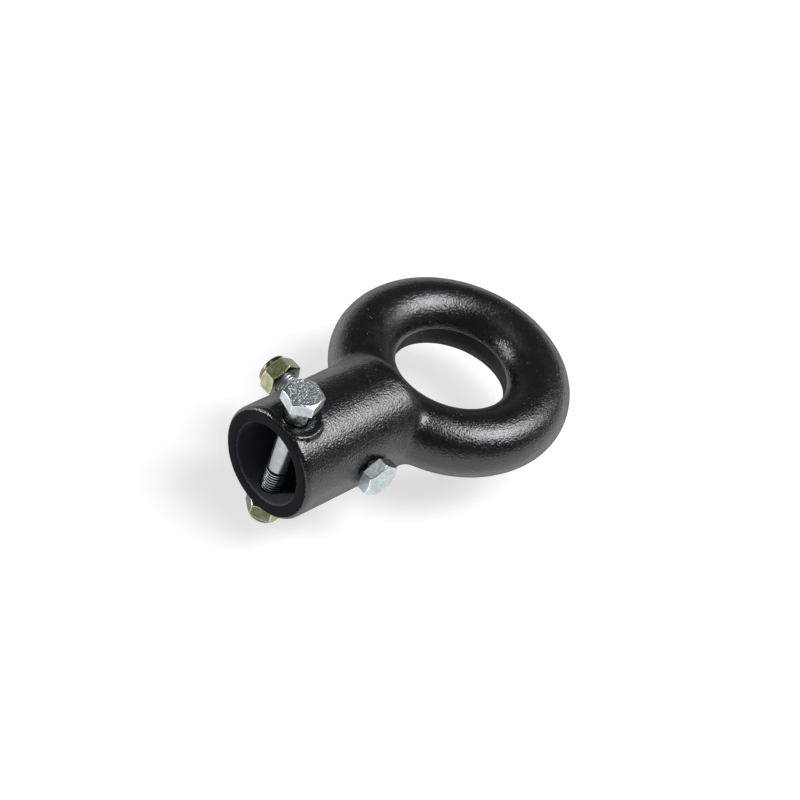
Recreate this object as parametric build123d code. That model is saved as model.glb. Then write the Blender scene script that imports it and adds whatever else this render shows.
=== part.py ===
from build123d import *
import math
import os

# Drawbar eye with a socket for a round drawbar tube, clamped by two cross bolts.
# Millimetres. The origin is the centre of the eye, +Z is the eye's axis (the
# axis of the coupling pin), and the tube socket runs along -X to its mouth.

# Driving dimensions of the eye ring
EYE_HOLE_D = 70.0
RING_SECTION_D = 41.5
EYE_LAND_DEPTH = 0.5

# Driving dimensions of the tube socket
SOCKET_BORE_D = 50.5
SOCKET_WALL = 10.25
EYE_TO_MOUTH = 150.0
BORE_DEPTH = 72.0
BORE_FLOOR_CHAMFER = 6.0
MOUTH_CHAMFER = 2.0
BORE_LEAD_IN = 1.0
SHOULDER_OVERLAP = 1.25
SHOULDER_RADIUS = 8.0
BLEND_RADIUS = 9.0

# Driving dimensions of the bolt stations
MOUTH_TO_FRONT_BOLT = 13.3
BOLT_SPACING = 40.2
CAST_POCKET_D = 32.0
CAST_POCKET_DEPTH = 1.5
CAST_POCKET_ROOT_RADIUS = 4.0
SPOT_FACE_D = 23.0
SPOT_FACE_CUT = 0.5
HOLE_CLEARANCE = 1.0

# Driving dimensions of the bolts and their self-locking nuts
SHANK_D = 14.0
THREAD_CREST_D = 13.9
THREAD_LENGTH = 34.0
TIGHT_PROTRUSION = 9.0
HEX_ACROSS_FLATS = 22.0
HEAD_HEIGHT = 8.8
HEX_CHAMFER_ANGLE = 30.0
HEAD_FACE_D = 20.6
WASHER_FACE_HEIGHT = 0.6
WASHER_FACE_D = 20.8
TIP_CHAMFER = 1.6
NUT_HEX_HEIGHT = 10.6
NUT_HEIGHT = 14.0
NUT_COUNTERSINK = 1.0
COLLAR_D = 19.6
COLLAR_CRIMP_RADIUS = 1.6
COLLAR_LIP = 1.0
COLLAR_LIP_OVERHANG = 1.0
INSERT_HEIGHT = 3.0
INSERT_WALL = 1.9
FRONT_NUT_ENGAGEMENT = 8.7
REAR_NUT_ENGAGEMENT = 9.7

# Named clearances
THREAD_CLEARANCE = 0.10
INSERT_BORE_CLEARANCE = 0.10
INSERT_POCKET_CLEARANCE = 0.15
INSERT_AXIAL_CLEARANCE = 0.10

# How far each bolt head stands off its spot-face, as the loose bolts sit
FRONT_HEAD_GAP = 11.9
REAR_HEAD_GAP = 1.0

# Angles in degrees, and the turn of each hexagon about its bolt's axis
QUARTER_TURN = 90.0
FULL_TURN = 360.0
FRONT_HEAD_TURN = 22.0
REAR_HEAD_TURN = 28.0
FRONT_NUT_TURN = 0.0
REAR_NUT_TURN = 29.0

# Sizes worked out from the driving dimensions
ring_r = RING_SECTION_D / 2
ring_centre_r = EYE_HOLE_D / 2 - EYE_LAND_DEPTH + ring_r
socket_r = SOCKET_BORE_D / 2 + SOCKET_WALL
bore_r = SOCKET_BORE_D / 2
bolt_hole_d = SHANK_D + HOLE_CLEARANCE
mouth_x = -EYE_TO_MOUTH
bore_floor_x = mouth_x + BORE_DEPTH
shoulder_x = SHOULDER_OVERLAP - ring_centre_r
front_bolt_x = mouth_x + MOUTH_TO_FRONT_BOLT
rear_bolt_x = front_bolt_x + BOLT_SPACING
pocket_floor_r = socket_r - CAST_POCKET_DEPTH
front_seat_level = pocket_floor_r - SPOT_FACE_CUT
rear_seat_level = socket_r - SPOT_FACE_CUT
hex_corner_r = HEX_ACROSS_FLATS / math.sqrt(3)
chamfer_slope = math.tan(math.radians(HEX_CHAMFER_ANGLE))
shank_r = SHANK_D / 2
thread_r = THREAD_CREST_D / 2
bolt_length = 2 * front_seat_level + NUT_HEIGHT + TIGHT_PROTRUSION
insert_inner_r = thread_r + INSERT_BORE_CLEARANCE
insert_outer_r = insert_inner_r + INSERT_WALL
insert_pocket_r = insert_outer_r + INSERT_POCKET_CLEARANCE
insert_pocket_height = INSERT_HEIGHT + 2 * INSERT_AXIAL_CLEARANCE
insert_pocket_start = NUT_HEIGHT - COLLAR_LIP - insert_pocket_height
through_length = 4 * socket_r
cutter_margin = 1.0


def make_face_of(*lines):
    """Face enclosed by lines that join end to end."""
    return Face(Wire(Curve() + list(lines)))


def make_ring():
    """Round-section ring, revolved about the pin axis."""
    section = Plane.XZ * Pos(ring_centre_r, 0) * Circle(ring_r)
    return revolve(section, Axis.Z, FULL_TURN)


def make_socket_blank():
    """Solid socket barrel with a chamfered mouth and a rounded inner shoulder."""
    outline = Polyline(
        (mouth_x, 0),
        (mouth_x, socket_r - MOUTH_CHAMFER),
        (mouth_x + MOUTH_CHAMFER, socket_r),
        (shoulder_x - SHOULDER_RADIUS, socket_r),
    )
    shoulder = JernArc(
        start=(shoulder_x - SHOULDER_RADIUS, socket_r),
        tangent=(1, 0),
        radius=SHOULDER_RADIUS,
        arc_size=-QUARTER_TURN,
    )
    closing = Polyline(
        (shoulder_x, socket_r - SHOULDER_RADIUS),
        (shoulder_x, 0),
        (mouth_x, 0),
    )
    profile = Plane.XZ * make_face_of(outline, shoulder, closing)
    return revolve(profile, Axis.X, FULL_TURN)


def make_bore():
    """Round tube bore with a small lead-in and a chamfered floor."""
    outline = Polyline(
        (mouth_x - cutter_margin, 0),
        (mouth_x - cutter_margin, bore_r + BORE_LEAD_IN + cutter_margin),
        (mouth_x + BORE_LEAD_IN, bore_r),
        (bore_floor_x - BORE_FLOOR_CHAMFER, bore_r),
        (bore_floor_x, bore_r - BORE_FLOOR_CHAMFER),
        (bore_floor_x, 0),
        (mouth_x - cutter_margin, 0),
    )
    return revolve(Plane.XZ * make_face_of(outline), Axis.X, FULL_TURN)


def station(x, turn):
    """Place at a bolt hole's centre: the bolt's axis is local Z, head up."""
    return Pos(x, 0, 0) * Rot(turn, 0, 0)


FRONT_STATION = station(front_bolt_x, 0)
REAR_STATION = station(rear_bolt_x, QUARTER_TURN)


def make_pocket():
    """Cutter for a cast pocket above z=0, on a barrel that lies along local X.

    Its floor follows the barrel and runs up to the wall in a round root."""
    core = Rot(0, QUARTER_TURN, 0) * Cylinder(pocket_floor_r, through_length)
    column = Pos(0, 0, through_length / 4) * Cylinder(CAST_POCKET_D / 2, through_length / 2)
    pocket = column - core
    root = pocket.edges().group_by(Axis.Z)[0]
    return fillet(root, CAST_POCKET_ROOT_RADIUS)


def cut_both_ends(body, place, cutter):
    """Take the cutter out of the head's side and of the nut's side."""
    body -= place * cutter
    body -= place * Rot(2 * QUARTER_TURN, 0, 0) * cutter
    return body


def cut_station(body, place, seat_level):
    """Drill one cross hole and mill the flat seats at its two ends."""
    body -= place * Cylinder(bolt_hole_d / 2, through_length)
    height = through_length / 2 - seat_level
    flat = Pos(0, 0, seat_level + height / 2) * Cylinder(SPOT_FACE_D / 2, height)
    return cut_both_ends(body, place, flat)


def make_eye_body():
    """One-piece eye: ring and socket run together with a generous blend."""
    ring = make_ring()
    blank = make_socket_blank()
    body = ring + blank
    known = ring.edges() + blank.edges()
    plain = (GeomType.LINE, GeomType.CIRCLE)
    seam = [e for e in body.edges() if e not in known and e.geom_type not in plain]
    body = fillet(seam, BLEND_RADIUS)
    body -= Cylinder(EYE_HOLE_D / 2, through_length)
    body -= make_bore()
    body = cut_both_ends(body, FRONT_STATION, make_pocket())
    body = cut_station(body, FRONT_STATION, front_seat_level)
    body = cut_station(body, REAR_STATION, rear_seat_level)
    return body


def turned_end(face_r, height):
    """Cone and cylinder that turn down the corners of one hexagon end."""
    drop = (hex_corner_r - face_r) * chamfer_slope
    envelope = Polyline(
        (0, 0),
        (hex_corner_r, 0),
        (hex_corner_r, height - drop),
        (face_r, height),
        (0, height),
        (0, 0),
    )
    return revolve(Plane.XZ * make_face_of(envelope), Axis.Z, FULL_TURN)


def hexagon_block(height, turn, top_face_r):
    """Hexagonal block from z=0 up, its top corners turned down to a cone."""
    outline = RegularPolygon(hex_corner_r, 6, rotation=turn)
    return extrude(outline, height) & turned_end(top_face_r, height)


def make_bolt(head_turn):
    """Hexagon-head bolt: bearing face at z=0, head above, shank below."""
    hexagon = hexagon_block(
        HEAD_HEIGHT - WASHER_FACE_HEIGHT,
        head_turn,
        HEAD_FACE_D / 2,
    )
    profile = Polyline(
        (0, WASHER_FACE_HEIGHT),
        (WASHER_FACE_D / 2, WASHER_FACE_HEIGHT),
        (WASHER_FACE_D / 2, 0),
        (shank_r, 0),
        (shank_r, THREAD_LENGTH - bolt_length),
        (thread_r, THREAD_LENGTH - bolt_length),
        (thread_r, TIP_CHAMFER - bolt_length),
        (thread_r - TIP_CHAMFER, -bolt_length),
        (0, -bolt_length),
        (0, WASHER_FACE_HEIGHT),
    )
    turned = revolve(Plane.XZ * make_face_of(profile), Axis.Z, FULL_TURN)
    return turned + Pos(0, 0, WASHER_FACE_HEIGHT) * hexagon


def make_nut(turn):
    """Self-locking nut: bearing face at z=0, the crimped collar's end below."""
    collar_r = COLLAR_D / 2
    hexagon = Pos(0, 0, -NUT_HEX_HEIGHT) * (
        hexagon_block(NUT_HEX_HEIGHT, turn, WASHER_FACE_D / 2)
        & Pos(0, 0, NUT_HEX_HEIGHT) * Rot(2 * QUARTER_TURN, 0, 0) * turned_end(collar_r, NUT_HEX_HEIGHT)
    )
    collar = Pos(0, 0, -NUT_HEIGHT / 2) * Cylinder(collar_r, NUT_HEIGHT)
    rim = collar.edges().group_by(Axis.Z)[0]
    collar = fillet(rim, COLLAR_CRIMP_RADIUS)
    nut_bore_r = thread_r + THREAD_CLEARANCE
    lip_r = insert_pocket_r - COLLAR_LIP_OVERHANG
    cavity = Polyline(
        (0, 0),
        (nut_bore_r + NUT_COUNTERSINK, 0),
        (nut_bore_r, -NUT_COUNTERSINK),
        (nut_bore_r, -insert_pocket_start),
        (insert_pocket_r, -insert_pocket_start),
        (insert_pocket_r, -insert_pocket_start - insert_pocket_height),
        (lip_r, -insert_pocket_start - insert_pocket_height),
        (lip_r, -NUT_HEIGHT),
        (0, -NUT_HEIGHT),
        (0, 0),
    )
    nut = hexagon + collar
    return nut - revolve(Plane.XZ * make_face_of(cavity), Axis.Z, FULL_TURN)


def make_insert():
    """Plastic locking ring, in the nut's own frame, inside its pocket."""
    middle = insert_pocket_start + insert_pocket_height / 2
    ring = Cylinder(insert_outer_r, INSERT_HEIGHT) - Cylinder(insert_inner_r, INSERT_HEIGHT)
    return Pos(0, 0, -middle) * ring


def fastener_parts(name, place, head_seat, engagement, head_turn, nut_turn):
    """The bolt, nut and locking ring of one cross hole, at their rest places."""
    nut_seat = head_seat - bolt_length + engagement
    return {
        f"{name}_bolt": place * Pos(0, 0, head_seat) * make_bolt(head_turn),
        f"{name}_nut": place * Pos(0, 0, nut_seat) * make_nut(nut_turn),
        f"{name}_nut_insert": place * Pos(0, 0, nut_seat) * make_insert(),
    }


def make_parts():
    """Every separate piece by its node name."""
    parts = {"eye_body": make_eye_body()}
    parts.update(
        fastener_parts(
            "front",
            FRONT_STATION,
            front_seat_level + FRONT_HEAD_GAP,
            FRONT_NUT_ENGAGEMENT,
            FRONT_HEAD_TURN,
            FRONT_NUT_TURN,
        )
    )
    parts.update(
        fastener_parts(
            "rear",
            REAR_STATION,
            rear_seat_level + REAR_HEAD_GAP,
            REAR_NUT_ENGAGEMENT,
            REAR_HEAD_TURN,
            REAR_NUT_TURN,
        )
    )
    return parts


os.makedirs("parts", exist_ok=True)
for node, shape in make_parts().items():
    export_step(shape, f"parts/{node}.step")
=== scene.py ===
import math

import bmesh
import bpy
from mathutils import Matrix, Quaternion, Vector, noise


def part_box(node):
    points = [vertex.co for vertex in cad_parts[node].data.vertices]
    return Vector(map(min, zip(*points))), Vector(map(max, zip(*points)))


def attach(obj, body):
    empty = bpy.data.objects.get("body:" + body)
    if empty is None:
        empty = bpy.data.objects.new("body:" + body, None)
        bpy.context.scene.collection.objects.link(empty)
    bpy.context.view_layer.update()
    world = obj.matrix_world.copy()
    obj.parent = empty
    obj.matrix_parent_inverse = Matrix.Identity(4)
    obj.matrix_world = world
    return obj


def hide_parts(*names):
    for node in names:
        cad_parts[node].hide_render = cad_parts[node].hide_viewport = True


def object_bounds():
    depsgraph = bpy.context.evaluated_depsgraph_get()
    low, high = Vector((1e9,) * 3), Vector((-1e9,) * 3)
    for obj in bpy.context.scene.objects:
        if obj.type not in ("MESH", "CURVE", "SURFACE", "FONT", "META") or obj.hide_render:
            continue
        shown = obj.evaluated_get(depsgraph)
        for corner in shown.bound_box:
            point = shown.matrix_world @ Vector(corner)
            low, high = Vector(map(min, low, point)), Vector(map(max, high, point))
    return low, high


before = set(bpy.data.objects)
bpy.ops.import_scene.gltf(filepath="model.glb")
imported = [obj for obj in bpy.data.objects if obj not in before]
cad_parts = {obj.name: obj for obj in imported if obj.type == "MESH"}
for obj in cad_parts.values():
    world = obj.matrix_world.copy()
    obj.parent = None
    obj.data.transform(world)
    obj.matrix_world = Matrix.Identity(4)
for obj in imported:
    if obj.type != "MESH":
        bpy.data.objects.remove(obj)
cad_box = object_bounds()

# Lengths are in millimetres and become metres where a mesh is made; angles are in degrees.
MM = 0.001

# Camera, from the photograph's own perspective
CAMERA_PLACE = Vector((-1073.1, -671.1, 1180.8)) * MM
CAMERA_TARGET = Vector((-42.35, -0.54, 0.0)) * MM
CAMERA_ROLL = 21.0
CAMERA_LENS = 128.0
SENSOR_WIDTH = 36.0

# Bolts
HEX_ACROSS_FLATS = 22.0
HEX_CORNER_ROUND = 0.6
HEX_CHAMFER_ANGLE = 30.0
HEAD_HEIGHT = 8.8
HEAD_FACE_R = 10.3
HEAD_DISH_R = 8.7
HEAD_DISH_DEPTH = 0.12
HEAD_DISH_SLOPE = 0.5
WASHER_FACE_HEIGHT = 0.6
WASHER_FACE_R = 10.4
WASHER_FACE_EDGE = 0.15
UNDER_HEAD_FILLET = 0.6
UNDER_HEAD_STEPS = 3
SHANK_R = 7.0
THREAD_R = 6.95
THREAD_LENGTH = 36.0
THREAD_PITCH = 2.0
THREAD_DEPTH = 1.2
THREAD_CREST_SHARE = 0.18
THREAD_FLANK_SHARE = 0.17
THREAD_RUN_OUT = 0.3
THREAD_ROOT_SHADE = 0.8
THREAD_FIRST_GROOVE = 1.2
THREAD_SHOULDER = 0.05
TIP_CHAMFER = 1.6
FRONT_HEAD_TURN = 17.0
REAR_HEAD_TURN = 28.0

# Self-locking nuts
NUT_HEX_HEIGHT = 10.6
NUT_HEIGHT = 14.0
NUT_BORE_R = 7.05
NUT_COUNTERSINK = 1.0
COLLAR_R = 9.8
COLLAR_CRIMP_RADIUS = 1.6
COLLAR_CRIMP_STEPS = 6
COLLAR_LIP_R = 8.1
COLLAR_LIP_WIDTH = 0.1
COLLAR_LIP_DEPTH = 0.15
POCKET_R = 9.1
POCKET_TOP = 9.8
POCKET_BOTTOM = 13.0
FRONT_NUT_TURN = 0.0
REAR_NUT_TURN = 29.0

# Rounded edges at a hexagon's end: inset and depth of each row, in shares of EDGE_ROUND
EDGE_ROUND = 0.28
EDGE_PROFILE = ((0.0, 1.6), (0.12, 0.75), (0.55, 0.12), (1.3, 0.0))
EDGE_BANDS = len(EDGE_PROFILE) - 1
FACE_EDGE_SHARE = 0.3

# Mesh resolution and clean-up
FLAT_STEPS = 8
CORNER_STEPS = 4
STATIONS_PER_PITCH = 10
MERGE_DISTANCE = 0.002
SHORTEST_EDGE = 0.001
SHARP_ANGLE = 38.0

# Material slots of the bolts
ZINC_SLOT = 0
FORGED_SLOT = 1
ROOT_SLOT = 2
SHANK_SLOT = 3
BOLT_EDGE_SLOT = 4

# Material slots of the nuts, and the painted light on each of their six flats: lit and shaded
# copies of the yellow zinc
YELLOW_SLOT = 0
OLIVE_SLOT = 1
PALE_SLOT = 2
NUT_EDGE_SLOT = 3
GREY_SLOT = 4
FRONT_NUT_PAINTED_FLATS = (YELLOW_SLOT, OLIVE_SLOT, OLIVE_SLOT, YELLOW_SLOT, PALE_SLOT, YELLOW_SLOT)
REAR_NUT_PAINTED_FLATS = (GREY_SLOT, OLIVE_SLOT, PALE_SLOT, YELLOW_SLOT, OLIVE_SLOT, YELLOW_SLOT)

# Material slots of the cast body
PAINT_SLOT = 0
MOUTH_SLOT = 1
BORE_SLOT = 2
HOLE_SLOT = 3

# Cast body: remeshed and smoothed skin, and waves as pairs of size and depth
CAST_VOXEL = 0.9
CAST_SMOOTHING = 7
CAST_SMOOTH_FACTOR = 0.5
RING_SMOOTHING = 14
RING_SMOOTH_FROM_X = -84.0
CAST_WAVES = ((34.0, 0.22), (11.0, 0.14), (4.5, 0.08))
MACHINED_SHARE = 0.15
SOCKET_BORE_R = 25.25
SOCKET_R = 35.5
BORE_DEPTH = 72.0
MOUTH_CHAMFER = 2.0
MOUTH_FACE_DEPTH = 0.5
HOLE_REACH = 50.0
HOLE_TOP = 4.0

# Rolled lip round the front pocket, about the direction LIP_MIDDLE seen from the pocket's axis
POCKET_X = -136.7
LIP_R = 15.0
LIP_WIDTH = 1.6
LIP_HEIGHT = 1.3
LIP_MIDDLE = -92.0
LIP_REACH = 52.0


def smoothstep(low, high, x):
    t = min(max((x - low) / (high - low), 0.0), 1.0)
    return t * t * (3 - 2 * t)


# Materials


def set_stops(elements, stops):
    """Fills a new colour ramp, each stop a position and an RGB triple."""
    while len(elements) < len(stops):
        elements.new(0.5)
    for element, (position, colour) in zip(elements, stops):
        element.position = position
        element.color = (*colour, 1)


class Shader:
    """A node material with a Principled shader and short helpers to feed it."""

    def __init__(self, name, **constants):
        self.material = bpy.data.materials.new(name)
        self.material.use_nodes = True
        self.nodes = self.material.node_tree.nodes
        self.links = self.material.node_tree.links
        self.surface = self.nodes["Principled BSDF"]
        for socket, value in constants.items():
            self.surface.inputs[socket.replace("_", " ")].default_value = value
        self.place = self.nodes.new("ShaderNodeTexCoord").outputs["Object"]

    def link(self, source, target):
        self.links.new(source, target)

    def noise(self, size, detail=3.0, roughness=0.5, shift=(0, 0, 0)):
        """Noise whose blotches are about size millimetres, as a factor output."""
        mapping = self.nodes.new("ShaderNodeMapping")
        mapping.inputs["Location"].default_value = shift
        self.link(self.place, mapping.inputs["Vector"])
        texture = self.nodes.new("ShaderNodeTexNoise")
        texture.inputs["Scale"].default_value = 1 / (size * MM)
        texture.inputs["Detail"].default_value = detail
        texture.inputs["Roughness"].default_value = roughness
        self.link(mapping.outputs["Vector"], texture.inputs["Vector"])
        return texture.outputs["Fac"]

    def cells(self, size):
        """Distance to the nearest of scattered points about size millimetres apart."""
        texture = self.nodes.new("ShaderNodeTexVoronoi")
        texture.inputs["Scale"].default_value = 1 / (size * MM)
        self.link(self.place, texture.inputs["Vector"])
        return texture.outputs["Distance"]

    def remap(self, source, low, high, to_low=0.0, to_high=1.0):
        """A factor carried from one range to another and held at its ends."""
        node = self.nodes.new("ShaderNodeMapRange")
        node.inputs["From Min"].default_value = low
        node.inputs["From Max"].default_value = high
        node.inputs["To Min"].default_value = to_low
        node.inputs["To Max"].default_value = to_high
        self.link(source, node.inputs["Value"])
        return node.outputs["Result"]

    def math(self, operation, first, second):
        """A Math node on two outputs or numbers."""
        node = self.nodes.new("ShaderNodeMath")
        node.operation = operation
        for socket, value in zip(node.inputs, (first, second)):
            if isinstance(value, (int, float)):
                socket.default_value = value
            else:
                self.link(value, socket)
        return node.outputs["Value"]

    def ramp(self, source, *stops):
        """Colours along a factor, each stop a position and an RGB triple."""
        node = self.nodes.new("ShaderNodeValToRGB")
        set_stops(node.color_ramp.elements, stops)
        self.link(source, node.inputs["Fac"])
        return node.outputs["Color"]

    def mix(self, share, colour, other):
        """The linked colour, with a share of another colour, an RGB triple, in it."""
        node = self.nodes.new("ShaderNodeMix")
        node.data_type = "RGBA"
        self.link(share, node.inputs["Factor"])
        self.link(colour, node.inputs["A"])
        node.inputs["B"].default_value = (*other, 1)
        return node.outputs["Result"]

    def bump(self, *layers):
        """Stacked bumps, each a height factor and its full depth in millimetres."""
        normal = None
        for height, depth in layers:
            node = self.nodes.new("ShaderNodeBump")
            node.inputs["Distance"].default_value = depth * MM
            self.link(height, node.inputs["Height"])
            if normal is not None:
                self.link(normal, node.inputs["Normal"])
            normal = node.outputs["Normal"]
        self.link(normal, self.surface.inputs["Normal"])


def black_paint(name, specular, polished, dull):
    """Black paint over a rough cast skin, with a few pale specks of dust."""
    shader = Shader(name, Specular_IOR_Level=specular, Roughness=polished)
    broad = shader.noise(38, detail=4)
    colour = shader.ramp(broad, (0.3, (0.002, 0.002, 0.0025)), (0.7, (0.005, 0.005, 0.0055)))
    dots = shader.remap(shader.cells(2.4), 0.13, 0.08)
    patches = shader.remap(shader.noise(13, detail=3, shift=(0.3, 0.1, 0.7)), 0.57, 0.62)
    specks = shader.math("MULTIPLY", dots, patches)
    paled_colour = shader.mix(specks, colour, (0.34, 0.35, 0.36))
    shader.link(paled_colour, shader.surface.inputs["Base Color"])
    gloss = shader.remap(shader.noise(6, detail=4, roughness=0.6), 0.3, 0.7, polished, dull)
    facing = shader.nodes.new("ShaderNodeLayerWeight").outputs["Facing"]
    grazing = shader.remap(facing, 0.55, 1.0, 0.0, 0.45)
    shader.link(shader.math("ADD", gloss, grazing), shader.surface.inputs["Roughness"])
    lumps = shader.noise(7, detail=1)
    grain = shader.noise(1.25, detail=1.8, roughness=0.55)
    shader.bump((lumps, 0.14), (grain, 0.33))
    return shader.material


def mouth_paint():
    """Thin matt paint on the machined mouth."""
    shader = Shader("mouth_paint", Specular_IOR_Level=0.08, Roughness=0.62)
    broad = shader.noise(16, detail=4)
    colour = shader.ramp(broad, (0.3, (0.005, 0.0055, 0.007)), (0.7, (0.009, 0.0095, 0.012)))
    shader.link(colour, shader.surface.inputs["Base Color"])
    shader.bump((shader.noise(2.4, detail=3), 0.12))
    return shader.material


def bore_paint():
    """Bluish grey primer in the tube bore, paler towards its lower side as painted light falling
    in through the mouth.
    """
    shader = Shader("bore_paint", Specular_IOR_Level=0.2, Roughness=0.5)
    broad = shader.noise(12, detail=4)
    colour = shader.ramp(broad, (0.3, (0.040, 0.043, 0.056)), (0.7, (0.056, 0.060, 0.077)))
    axes = shader.nodes.new("ShaderNodeSeparateXYZ")
    shader.link(shader.place, axes.inputs[0])
    # Painted light: the bore's lower side is made paler, as if lit through the mouth.
    painted_light_share = shader.remap(axes.outputs["Z"], -8 * MM, -24 * MM)
    paled_colour = shader.mix(painted_light_share, colour, (0.088, 0.090, 0.112))
    shader.link(paled_colour, shader.surface.inputs["Base Color"])
    shader.bump((shader.noise(2.4, detail=3), 0.12))
    return shader.material


def zinc_plate():
    """Bright zinc plating on a drawn and turned bolt."""
    shader = Shader("zinc_plate", Metallic=1.0, Roughness=0.32)
    tone = shader.noise(3.5, detail=5, roughness=0.62)
    colour = shader.ramp(tone, (0.28, (0.41, 0.46, 0.47)), (0.72, (0.63, 0.70, 0.71)))
    shader.link(colour, shader.surface.inputs["Base Color"])
    wear = shader.noise(1.4, detail=4, roughness=0.6)
    shader.link(shader.remap(wear, 0.3, 0.7, 0.24, 0.42), shader.surface.inputs["Roughness"])
    shader.bump((shader.noise(0.5, detail=2), 0.02))
    return shader.material


def forged_zinc(name, depth, dark, middle, bright):
    """Zinc over the rough forged top of a bolt head."""
    shader = Shader(name, Metallic=1.0, Roughness=0.34)
    grain = shader.noise(1.3, detail=3, roughness=0.7)
    colour = shader.ramp(grain, (0.43, dark), (0.50, middle), (0.57, bright))
    shader.link(colour, shader.surface.inputs["Base Color"])
    shader.link(shader.remap(grain, 0.3, 0.7, 0.38, 0.22), shader.surface.inputs["Roughness"])
    shader.bump((grain, depth), (shader.noise(0.5, detail=2), 0.05))
    return shader.material


def shank_zinc_painted_shade():
    """Smoother zinc on a bolt's plain shank, darker than the plating elsewhere as painted shade
    for the shadow under the head and in the bore.
    """
    shader = Shader("shank_zinc_painted_shade", Metallic=1.0, Roughness=0.26)
    tone = shader.noise(3.0, detail=5, roughness=0.6)
    colour = shader.ramp(tone, (0.3, (0.36, 0.39, 0.40)), (0.7, (0.51, 0.55, 0.56)))
    shader.link(colour, shader.surface.inputs["Base Color"])
    wear = shader.noise(1.4, detail=4, roughness=0.6)
    shader.link(shader.remap(wear, 0.3, 0.7, 0.18, 0.32), shader.surface.inputs["Roughness"])
    shader.bump((shader.noise(0.6, detail=2), 0.02))
    return shader.material


def thread_root(name, dark, bright):
    """Dull zinc at the bottom of a thread, mottled between two colours; where these are dark, it
    is painted shade in the thread's grooves.
    """
    shader = Shader(name, Metallic=1.0, Roughness=0.55)
    tone = shader.noise(1.2, detail=4, roughness=0.6)
    colour = shader.ramp(tone, (0.3, dark), (0.7, bright))
    shader.link(colour, shader.surface.inputs["Base Color"])
    return shader.material


def yellow_zinc(name, thin, middle, thick):
    """Yellow passivated zinc: a chromate film whose tone drifts from thin to thick."""
    shader = Shader(name, Metallic=1.0, Roughness=0.26)
    bloom = shader.noise(5, detail=5, roughness=0.6)
    colour = shader.ramp(bloom, (0.32, thin), (0.50, middle), (0.70, thick))
    shader.link(colour, shader.surface.inputs["Base Color"])
    wear = shader.noise(1.6, detail=4, roughness=0.6)
    shader.link(shader.remap(wear, 0.3, 0.7, 0.16, 0.32), shader.surface.inputs["Roughness"])
    shader.bump((shader.noise(0.7, detail=3), 0.03))
    return shader.material


def painted_highlight_edge(name, dull, bright):
    """Brighter plating along the edges of a hexagon: a painted highlight."""
    shader = Shader(name, Metallic=1.0, Roughness=0.22)
    wear = shader.noise(1.1, detail=3)
    colour = shader.ramp(wear, (0.35, dull), (0.55, bright))
    shader.link(colour, shader.surface.inputs["Base Color"])
    shader.link(shader.remap(wear, 0.3, 0.7, 0.30, 0.16), shader.surface.inputs["Roughness"])
    return shader.material


def insert_plastic():
    """Natural nylon, slightly cloudy."""
    shader = Shader("insert_plastic", Roughness=0.42,
                    Subsurface_Weight=0.2, Subsurface_Scale=1 * MM)
    cloud = shader.noise(2.5, detail=3)
    colour = shader.ramp(cloud, (0.3, (0.74, 0.75, 0.70)), (0.7, (0.84, 0.85, 0.81)))
    shader.link(colour, shader.surface.inputs["Base Color"])
    shader.bump((shader.noise(0.6, detail=2), 0.02))
    return shader.material


# Meshes made from rows of points


def hexagon_outline(turn):
    """Points round a hexagon with rounded corners, counter-clockwise, in millimetres."""
    points = []
    apothem = HEX_ACROSS_FLATS / 2
    round_centre = (apothem - HEX_CORNER_ROUND) / math.cos(math.pi / 6)
    for corner in range(6):
        angle = math.radians(turn + 60 * corner)
        centre = Vector((math.cos(angle), math.sin(angle))) * round_centre
        for step in range(CORNER_STEPS + 1):
            around = angle + math.radians(60 * step / CORNER_STEPS - 30)
            points.append(centre + Vector((math.cos(around), math.sin(around))) * HEX_CORNER_ROUND)
        next_angle = angle + math.radians(60)
        next_centre = Vector((math.cos(next_angle), math.sin(next_angle))) * round_centre
        flat_normal = angle + math.radians(30)
        offset = Vector((math.cos(flat_normal), math.sin(flat_normal))) * HEX_CORNER_ROUND
        for step in range(1, FLAT_STEPS):
            points.append((centre + offset).lerp(next_centre + offset, step / FLAT_STEPS))
    return points


def circle_row(outline, radius, height):
    """The outline's points drawn in to a circle."""
    return [(*(p.normalized() * radius), height) for p in outline]


def inset_row(outline, inset, height_at):
    """The outline drawn in by inset, at a height that depends on the distance out."""
    row = []
    for p in outline:
        q = p.normalized() * (p.length - inset)
        row.append((q.x, q.y, height_at(q.length)))
    return row


def chamfered_end_rows(outline, face_r, face_z, sign):
    """Rows from a hexagon's wall over its turned-down end to the flat face."""
    slope = math.tan(math.radians(HEX_CHAMFER_ANGLE))

    def cone(radius):
        return face_z - sign * max(0.0, radius - face_r) * slope

    def below(depth):
        return lambda radius: cone(radius) - sign * depth

    rows = [
        inset_row(outline, inset * EDGE_ROUND, below(depth * EDGE_ROUND))
        for inset, depth in EDGE_PROFILE
    ]
    face_edge = face_r + FACE_EDGE_SHARE * EDGE_ROUND
    rows.append(circle_row(outline, face_edge, cone(face_edge)))
    rows.append(circle_row(outline, face_r - EDGE_ROUND, face_z))
    return rows


def thread_height(phase):
    """How far out the thread stands, from 0 at the root to 1 at the crest."""
    from_crest = abs(phase - round(phase))
    down = (from_crest - THREAD_CREST_SHARE) / THREAD_FLANK_SHARE
    return 1 - min(max(down, 0.0), 1.0)


def thread_radius(z, phase, z_start, z_tip):
    """Radius of the threaded end at a height, with its run-out and chamfered tip."""
    fade = smoothstep(0.0, THREAD_RUN_OUT, z_start - z)
    height = 0.0 if z_start - z < THREAD_FIRST_GROOVE else thread_height(phase)
    radius = THREAD_R - THREAD_DEPTH * fade * (1 - height)
    return min(radius, THREAD_R - TIP_CHAMFER + (z - z_tip))


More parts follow.
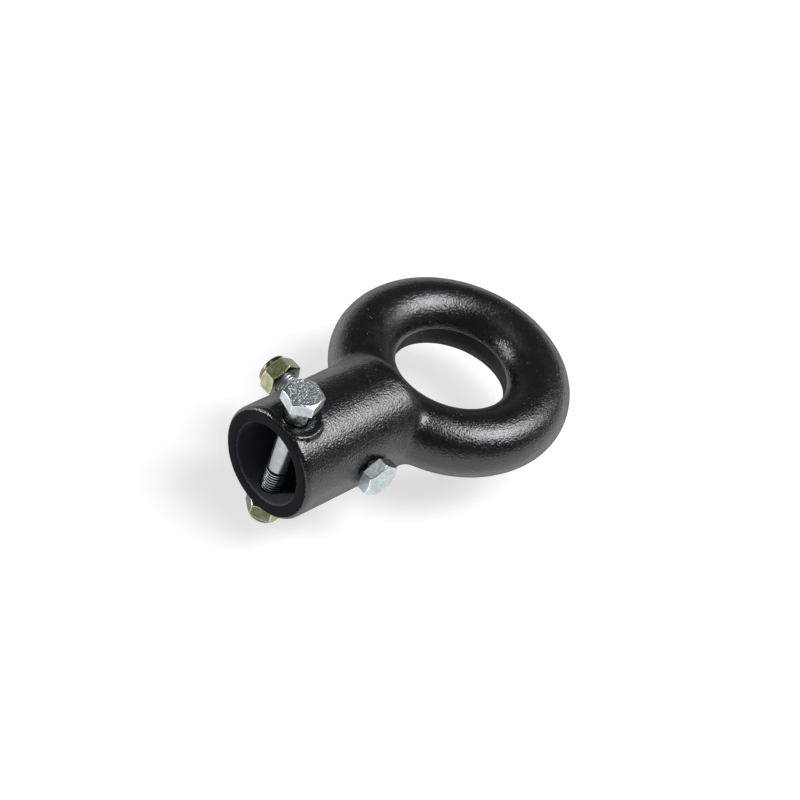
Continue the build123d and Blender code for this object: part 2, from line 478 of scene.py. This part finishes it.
def skin(mesh, rows):
    """Quads between neighbouring closed rows; gives the rows and the bands of quads."""
    made = [[mesh.verts.new(Vector(p) * MM) for p in row] for row in rows]
    bands = []
    for lower, upper in zip(made, made[1:]):
        band = []
        for i in range(len(lower)):
            j = (i + 1) % len(lower)
            band.append(mesh.faces.new((lower[i], lower[j], upper[j], upper[i])))
        bands.append(band)
    return made, bands


def tone_hexagon(bands, wall, edges, facet_slots, edge_slot):
    """Material slots of a hexagon: its flats one by one, on a nut in lit and shaded copies as
    painted light, and its corners and edges in a brighter material as a painted highlight.
    """
    for i, face in enumerate(bands[wall]):
        facet, step = divmod(i, CORNER_STEPS + FLAT_STEPS)
        face.material_index = edge_slot if step < CORNER_STEPS else facet_slots[facet]
    for band in edges:
        for face in bands[band]:
            face.material_index = edge_slot


def cap(mesh, row, height, flip):
    """Closes a row with a fan about a centre point."""
    centre = mesh.verts.new((0, 0, height * MM))
    for i in range(len(row)):
        j = (i + 1) % len(row)
        corners = (row[j], row[i], centre) if flip else (row[i], row[j], centre)
        mesh.faces.new(corners)


def thread_skin(mesh, outline, z_tip, z_start):
    """Threaded end as a sheared grid, so that each ridge follows its helix."""
    angles = [math.atan2(p.y, p.x) % (2 * math.pi) for p in outline]
    first = angles.index(min(angles))
    order = [(first + i) % len(angles) for i in range(len(angles))]
    count = round((z_start - z_tip) / THREAD_PITCH * STATIONS_PER_PITCH)
    step = (z_start - z_tip) / count
    rows = {}
    for k in range(-STATIONS_PER_PITCH, count + 1):
        row = []
        for i in order:
            turn_share = angles[i] / (2 * math.pi)
            z = min(max(z_tip + k * step + THREAD_PITCH * turn_share, z_tip), z_start)
            radius = thread_radius(z, k / STATIONS_PER_PITCH, z_start, z_tip)
            outward = Vector((math.cos(angles[i]), math.sin(angles[i]), 0))
            row.append(mesh.verts.new(outward * radius * MM + Vector((0, 0, z * MM))))
        rows[k] = row
    last = len(order) - 1
    for k in range(-STATIONS_PER_PITCH, count):
        # Faces near the root, and the first groove, take the root material: painted shade in the
        # grooves where that material is dark.
        in_root = thread_height((k + 0.5) / STATIONS_PER_PITCH) < THREAD_ROOT_SHADE
        for i in range(last):
            corners = (rows[k][i], rows[k][i + 1], rows[k + 1][i + 1], rows[k + 1][i])
            face = mesh.faces.new(corners)
            in_groove = z_start - rows[k][i].co.z / MM < THREAD_FIRST_GROOVE
            face.material_index = ROOT_SLOT if in_root or in_groove else ZINC_SLOT
        wrapped = min(k + STATIONS_PER_PITCH, count)
        above = min(k + 1 + STATIONS_PER_PITCH, count)
        corners = [rows[k][last], rows[wrapped][0], rows[above][0], rows[k + 1][last]]
        unique = list(dict.fromkeys(corners))
        if len(unique) > 2:
            face = mesh.faces.new(unique)
            face.material_index = ROOT_SLOT if in_root else ZINC_SLOT


def finish_piece(mesh, name, place, materials):
    """Turns a bmesh into a placed object with clean shading."""
    bmesh.ops.remove_doubles(mesh, verts=mesh.verts, dist=MERGE_DISTANCE * MM)
    bmesh.ops.dissolve_degenerate(mesh, edges=mesh.edges, dist=SHORTEST_EDGE * MM)
    bmesh.ops.recalc_face_normals(mesh, faces=mesh.faces)
    data = bpy.data.meshes.new(name)
    mesh.to_mesh(data)
    mesh.free()
    data.transform(place)
    data.polygons.foreach_set("use_smooth", [True] * len(data.polygons))
    data.set_sharp_from_angle(angle=math.radians(SHARP_ANGLE))
    for material in materials:
        data.materials.append(material)
    piece = bpy.data.objects.new(name, data)
    bpy.context.scene.collection.objects.link(piece)
    weighted = piece.modifiers.new("weighted_normals", "WEIGHTED_NORMAL")
    weighted.keep_sharp = True
    return piece


def make_bolt(name, node, place, length, head_turn, materials):
    """Hexagon-head bolt: bearing face at z=0, head above, threaded shank below."""
    outline = hexagon_outline(head_turn)
    mesh = bmesh.new()
    z_tip = -length
    z_start = z_tip + THREAD_LENGTH
    head = [
        circle_row(outline, THREAD_R, z_start),
        circle_row(outline, SHANK_R, z_start + THREAD_SHOULDER),
        circle_row(outline, SHANK_R, -UNDER_HEAD_FILLET),
    ]
    for step in range(1, UNDER_HEAD_STEPS + 1):
        turn = math.radians(90 * step / UNDER_HEAD_STEPS)
        head.append(circle_row(
            outline,
            SHANK_R + UNDER_HEAD_FILLET * (1 - math.cos(turn)),
            -UNDER_HEAD_FILLET * (1 - math.sin(turn)),
        ))
    head += [
        circle_row(outline, WASHER_FACE_R - WASHER_FACE_EDGE, 0.0),
        circle_row(outline, WASHER_FACE_R, WASHER_FACE_EDGE),
        circle_row(outline, WASHER_FACE_R, WASHER_FACE_HEIGHT),
        inset_row(outline, EDGE_ROUND, lambda r: WASHER_FACE_HEIGHT),
        inset_row(outline, 0.0, lambda r: WASHER_FACE_HEIGHT + EDGE_ROUND),
    ]
    wall = len(head) - 1
    head += chamfered_end_rows(outline, HEAD_FACE_R, HEAD_HEIGHT, 1)
    dish_z = HEAD_HEIGHT - HEAD_DISH_DEPTH
    head.append(circle_row(outline, HEAD_DISH_R, HEAD_HEIGHT))
    head.append(circle_row(outline, HEAD_DISH_R - HEAD_DISH_SLOPE, dish_z))
    rows, bands = skin(mesh, head)
    cap(mesh, rows[-1], dish_z, False)
    tip = circle_row(outline, THREAD_R - TIP_CHAMFER, z_tip)
    tip_row = [mesh.verts.new(Vector(p) * MM) for p in tip]
    cap(mesh, tip_row, z_tip, True)
    thread_skin(mesh, outline, z_tip, z_start)
    # The forged top gets its own zinc; the plain shank gets the darker shank zinc, painted shade
    # under the head.
    for face in mesh.faces:
        height = face.calc_center_median().z / MM
        if height > HEAD_HEIGHT - 1.5 * HEAD_DISH_DEPTH:
            face.material_index = FORGED_SLOT
        elif z_start < height < 0:
            face.material_index = SHANK_SLOT
    rim = wall + EDGE_BANDS + 2
    edges = (wall - 1, *range(wall + 1, wall + 1 + EDGE_BANDS), rim)
    tone_hexagon(bands, wall, edges, (ZINC_SLOT,) * 6, BOLT_EDGE_SLOT)
    piece = finish_piece(mesh, name, place, materials)
    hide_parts(node)
    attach(piece, node)


def make_nut(name, node, place, turn, painted_flats, materials):
    """Self-locking nut: bearing face at z=0, crimped collar at the lower end."""
    outline = hexagon_outline(turn)
    rows = [
        circle_row(outline, NUT_BORE_R, -NUT_COUNTERSINK),
        circle_row(outline, NUT_BORE_R + NUT_COUNTERSINK, 0.0),
    ]
    rows += reversed(chamfered_end_rows(outline, WASHER_FACE_R, 0.0, 1))
    wall = len(rows) - 1
    rows += chamfered_end_rows(outline, COLLAR_R + EDGE_ROUND, -NUT_HEX_HEIGHT, -1)[:-1]
    rows.append(circle_row(outline, COLLAR_R + EDGE_ROUND, -NUT_HEX_HEIGHT))
    rows.append(circle_row(outline, COLLAR_R, -NUT_HEX_HEIGHT - EDGE_ROUND))
    for step in range(COLLAR_CRIMP_STEPS):
        bend = math.radians(90 * step / COLLAR_CRIMP_STEPS)
        rows.append(circle_row(
            outline,
            COLLAR_R - COLLAR_CRIMP_RADIUS * (1 - math.cos(bend)),
            -NUT_HEIGHT + COLLAR_CRIMP_RADIUS * (1 - math.sin(bend)),
        ))
    rows += [
        circle_row(outline, COLLAR_LIP_R + COLLAR_LIP_WIDTH, -NUT_HEIGHT),
        circle_row(outline, COLLAR_LIP_R, -NUT_HEIGHT + COLLAR_LIP_DEPTH),
        circle_row(outline, COLLAR_LIP_R, -POCKET_BOTTOM),
        circle_row(outline, POCKET_R, -POCKET_BOTTOM),
        circle_row(outline, POCKET_R, -POCKET_TOP),
        circle_row(outline, NUT_BORE_R, -POCKET_TOP),
        rows[0],
    ]
    mesh = bmesh.new()
    _, bands = skin(mesh, rows)
    edges = [wall + side * step for side in (-1, 1) for step in range(1, EDGE_BANDS + 1)]
    tone_hexagon(bands, wall, edges, painted_flats, NUT_EDGE_SLOT)
    piece = finish_piece(mesh, name, place, materials)
    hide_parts(node)
    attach(piece, node)


def fastener(prefix, place_of, head_turn, nut_turn, bolt_materials, painted_flats):
    """The visible bolt and nut of one cross hole, where the frame has them."""
    bolt_low, bolt_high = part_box(f"{prefix}_bolt")
    nut_low, nut_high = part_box(f"{prefix}_nut")
    bolt_place, length = place_of(bolt_low, bolt_high, HEAD_HEIGHT)
    nut_place, _ = place_of(nut_low, nut_high, 0.0)
    bolt_length = length / MM - HEAD_HEIGHT
    make_bolt(f"{prefix}_hex_bolt", f"{prefix}_bolt", bolt_place, bolt_length, head_turn,
              bolt_materials)
    make_nut(f"{prefix}_lock_nut", f"{prefix}_nut", nut_place, nut_turn, painted_flats, lit_and_shaded_films)


def place_along_z(low, high, top_to_face):
    """Place with local Z up; the face lies top_to_face under the piece's top."""
    middle = (low + high) / 2
    return Matrix.Translation((middle.x, middle.y, high.z - top_to_face * MM)), high.z - low.z


def place_along_minus_y(low, high, top_to_face):
    """Place with local Z along -Y, as the rear bolt lies."""
    middle = (low + high) / 2
    turned = Matrix.Rotation(math.radians(90), 4, "X")
    place = Matrix.Translation((middle.x, low.y + top_to_face * MM, middle.z)) @ turned
    return place, high.y - low.y


def skin_slot(point, mouth_x):
    """Material slot of a point on the cast body: eye's hole, tube bore, mouth or paint."""
    x, y, z = point / MM
    if math.hypot(x, y) < HOLE_REACH and z < HOLE_TOP:
        return HOLE_SLOT
    radius = math.hypot(y, z)
    depth = x - mouth_x / MM
    if depth < BORE_DEPTH + CAST_VOXEL and radius < SOCKET_BORE_R + CAST_VOXEL:
        return BORE_SLOT
    if depth < MOUTH_FACE_DEPTH and radius < SOCKET_R - MOUTH_CHAMFER:
        return MOUTH_SLOT
    return PAINT_SLOT


def lip_height(point):
    """Height of the rolled lip round the front pocket at a point, in millimetres."""
    x, y, z = point / MM
    if z < 0:
        return 0.0
    out = math.hypot(x - POCKET_X, y)
    around = math.degrees(math.atan2(y, x - POCKET_X))
    aside = abs((around - LIP_MIDDLE + 180) % 360 - 180)
    section = math.exp(-((out - LIP_R) / LIP_WIDTH) ** 2)
    return LIP_HEIGHT * section * smoothstep(LIP_REACH, LIP_REACH / 2, aside)


def make_casting(materials):
    """The eye's cast body: the frame's solid with soft edges, an uneven skin and the lip."""
    low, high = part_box("eye_body")
    piece = bpy.data.objects.new("eye_casting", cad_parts["eye_body"].data.copy())
    bpy.context.scene.collection.objects.link(piece)
    remesh = piece.modifiers.new("remesh", "REMESH")
    remesh.mode = "VOXEL"
    remesh.voxel_size = CAST_VOXEL * MM
    smooth = piece.modifiers.new("smooth", "SMOOTH")
    smooth.factor = CAST_SMOOTH_FACTOR
    smooth.iterations = CAST_SMOOTHING
    evaluated = piece.evaluated_get(bpy.context.evaluated_depsgraph_get())
    data = bpy.data.meshes.new_from_object(evaluated)
    piece.modifiers.clear()
    piece.data = data
    data.name = "eye_casting"
    smoothed = bmesh.new()
    smoothed.from_mesh(data)
    ring = [v for v in smoothed.verts if v.co.x > RING_SMOOTH_FROM_X * MM]
    for _ in range(RING_SMOOTHING):
        bmesh.ops.smooth_vert(smoothed, verts=ring, factor=CAST_SMOOTH_FACTOR,
                              use_axis_x=True, use_axis_y=True, use_axis_z=True)
    smoothed.to_mesh(data)
    smoothed.free()
    data.materials.clear()
    for material in materials:
        data.materials.append(material)
    moved = []
    for vertex in data.vertices:
        place = vertex.co.copy()
        inward = 0.0
        for wave, depth in CAST_WAVES:
            inward += depth * (0.5 + 0.5 * noise.noise(place / (wave * MM)))
        if skin_slot(place, low.x) in (MOUTH_SLOT, BORE_SLOT):
            inward *= MACHINED_SHARE
        inward -= lip_height(place)
        place -= vertex.normal * inward * MM
        moved += [min(max(place[i], low[i]), high[i]) for i in range(3)]
    data.vertices.foreach_set("co", moved)
    for face in data.polygons:
        face.use_smooth = True
        face.material_index = skin_slot(face.center, low.x)
    data.update()
    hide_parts("eye_body")
    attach(piece, "eye_body")


# The object

paint = black_paint("black_paint", 0.85, 0.18, 0.30)
hole_paint = black_paint("hole_paint", 0.12, 0.36, 0.48)
mouth = mouth_paint()
bore = bore_paint()
zinc = zinc_plate()
grainy_forged = forged_zinc(
    "grainy_forged", 0.48, (0.33, 0.39, 0.41), (0.78, 0.86, 0.88), (0.93, 0.99, 0.99))
smooth_forged = forged_zinc(
    "smooth_forged", 0.16, (0.40, 0.47, 0.48), (0.46, 0.53, 0.54), (0.60, 0.68, 0.68))
# Painted shade: near-black roots in the front bolt's thread, inside the bore.
shaded_root = thread_root("shaded_root", (0.012, 0.01248, 0.0132), (0.04, 0.0416, 0.044))
clean_root = thread_root("clean_root", (0.42, 0.4368, 0.462), (0.60, 0.624, 0.66))
shank = shank_zinc_painted_shade()
# Painted highlights: bright lines along the edges and corners of the bolts and nuts.
zinc_edge = painted_highlight_edge("zinc_edge", (0.62, 0.68, 0.69), (0.92, 0.97, 0.97))
film_edge = painted_highlight_edge("film_edge", (0.42, 0.41, 0.26), (0.88, 0.86, 0.68))
# Painted light and shade: olive, yellow, pale and grey copies of the yellow zinc, one given to
# each flat of a nut by how it faces the light.
lit_and_shaded_films = [  # in the order of the nuts' material slots
    yellow_zinc("yellow_zinc", (0.14, 0.155, 0.055), (0.20, 0.21, 0.13), (0.29, 0.29, 0.21)),
    yellow_zinc("olive_zinc", (0.075, 0.090, 0.030), (0.11, 0.125, 0.055), (0.17, 0.18, 0.11)),
    yellow_zinc("pale_zinc", (0.28, 0.33, 0.10), (0.44, 0.43, 0.26), (0.56, 0.53, 0.41)),
    film_edge,
    yellow_zinc("grey_zinc", (0.085, 0.090, 0.060), (0.13, 0.135, 0.105), (0.20, 0.20, 0.17)),
]
nylon = insert_plastic()

make_casting([paint, mouth, bore, hole_paint])
for node in ("front_nut_insert", "rear_nut_insert"):
    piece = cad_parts[node]
    piece.data.materials.clear()
    piece.data.materials.append(nylon)

fastener("front", place_along_z, FRONT_HEAD_TURN, FRONT_NUT_TURN,
         [zinc, grainy_forged, shaded_root, shank, zinc_edge], FRONT_NUT_PAINTED_FLATS)
fastener("rear", place_along_minus_y, REAR_HEAD_TURN, REAR_NUT_TURN,
         [zinc, smooth_forged, clean_root, shank, zinc_edge], REAR_NUT_PAINTED_FLATS)


# Floor, light and camera; lengths in metres, apart from the floor's gap

FLOOR_GAP = 0.05
FLOOR_SEGMENTS = 96
FLOOR_RADIUS = 6.0
FLOOR_COLOUR = (0.40, 0.40, 0.40)
FLOOR_LIFT = (0.66, 1.0)
FLOOR_LIFT_REACH = (0.6, 2.5)
LAMP_COLOUR = (0.97, 0.985, 1.02)
LAMPS = (  # name, direction from the object, distance, size, radiance
    ("key_light", (0.32, -0.38, 0.87), 3.0, 1.70, 10.6),
    ("edge_light", (0.71, -0.38, 0.59), 3.0, 1.1, 3.2),
    ("fill_light", (-0.25, 0.42, 0.87), 2.5, 0.8, 1.2),
    ("side_light", (-0.68, 0.69, 0.21), 1.2, 0.32, 18.0),
)
ROOM_LEVELS = ((0.03, 0.42), (0.20, 0.12), (0.5, 0.08))  # height of a direction, radiance
CLIP_START = 0.01
CLIP_END = 50.0


def make_floor():
    """Pale round floor just under the object's lowest point."""
    mesh = bmesh.new()
    bmesh.ops.create_circle(mesh, cap_ends=True, segments=FLOOR_SEGMENTS, radius=FLOOR_RADIUS)
    data = bpy.data.meshes.new("floor")
    mesh.to_mesh(data)
    mesh.free()
    floor = bpy.data.objects.new("floor", data)
    bpy.context.scene.collection.objects.link(floor)
    floor.location.z = cad_box[0].z - FLOOR_GAP * MM
    shader = Shader("floor_white", Roughness=0.9, Specular_IOR_Level=0.1)
    shader.surface.inputs["Base Color"].default_value = (*FLOOR_COLOUR, 1)
    shader.surface.inputs["Emission Color"].default_value = (1, 1, 1, 1)
    path = shader.nodes.new("ShaderNodeLightPath")
    seen = shader.math("MAXIMUM", path.outputs["Is Camera Ray"], path.outputs["Is Glossy Ray"])
    seen = shader.math("MAXIMUM", seen, path.outputs["Is Transmission Ray"])
    distance = shader.nodes.new("ShaderNodeVectorMath")
    distance.operation = "LENGTH"
    shader.link(shader.place, distance.inputs[0])
    lift = shader.remap(distance.outputs["Value"], *FLOOR_LIFT_REACH, *FLOOR_LIFT)
    shader.link(shader.math("MULTIPLY", seen, lift), shader.surface.inputs["Emission Strength"])
    data.materials.append(shader.material)


def area_light(name, direction, distance, size, radiance):
    """Square soft box facing the object from a direction."""
    lamp = bpy.data.lights.new(name, "AREA")
    lamp.color = LAMP_COLOUR
    lamp.shape = "SQUARE"
    lamp.size = size
    lamp.energy = radiance * math.pi * size * size
    light = bpy.data.objects.new(name, lamp)
    bpy.context.scene.collection.objects.link(light)
    unit = Vector(direction).normalized()
    light.location = CAMERA_TARGET + unit * distance
    light.rotation_mode = "QUATERNION"
    light.rotation_quaternion = unit.to_track_quat("Z", "Y")


def make_world():
    """Even grey room, palest at the horizon and darker overhead."""
    world = bpy.data.worlds.new("studio")
    world.use_nodes = True
    bpy.context.scene.world = world
    nodes = world.node_tree.nodes
    links = world.node_tree.links
    coordinates = nodes.new("ShaderNodeTexCoord")
    split = nodes.new("ShaderNodeSeparateXYZ")
    links.new(coordinates.outputs["Generated"], split.inputs[0])
    ramp = nodes.new("ShaderNodeValToRGB")
    stops = [(height, (level,) * 3) for height, level in ROOM_LEVELS]
    set_stops(ramp.color_ramp.elements, stops)
    links.new(split.outputs["Z"], ramp.inputs["Fac"])
    background = nodes["Background"]
    links.new(ramp.outputs["Color"], background.inputs["Color"])
    background.inputs["Strength"].default_value = 1.0


def make_camera():
    """Camera where the photograph's outlines put it."""
    lens = bpy.data.cameras.new("camera")
    lens.lens = CAMERA_LENS
    lens.sensor_width = SENSOR_WIDTH
    lens.clip_start = CLIP_START
    lens.clip_end = CLIP_END
    camera = bpy.data.objects.new("camera", lens)
    bpy.context.scene.collection.objects.link(camera)
    camera.location = CAMERA_PLACE
    camera.rotation_mode = "QUATERNION"
    aim = (CAMERA_TARGET - CAMERA_PLACE).to_track_quat("-Z", "Y")
    camera.rotation_quaternion = aim @ Quaternion((0, 0, 1), math.radians(CAMERA_ROLL))
    bpy.context.scene.camera = camera


make_floor()
for lamp_values in LAMPS:
    area_light(*lamp_values)
make_world()
make_camera()
bpy.context.scene.view_settings.view_transform = "Standard"
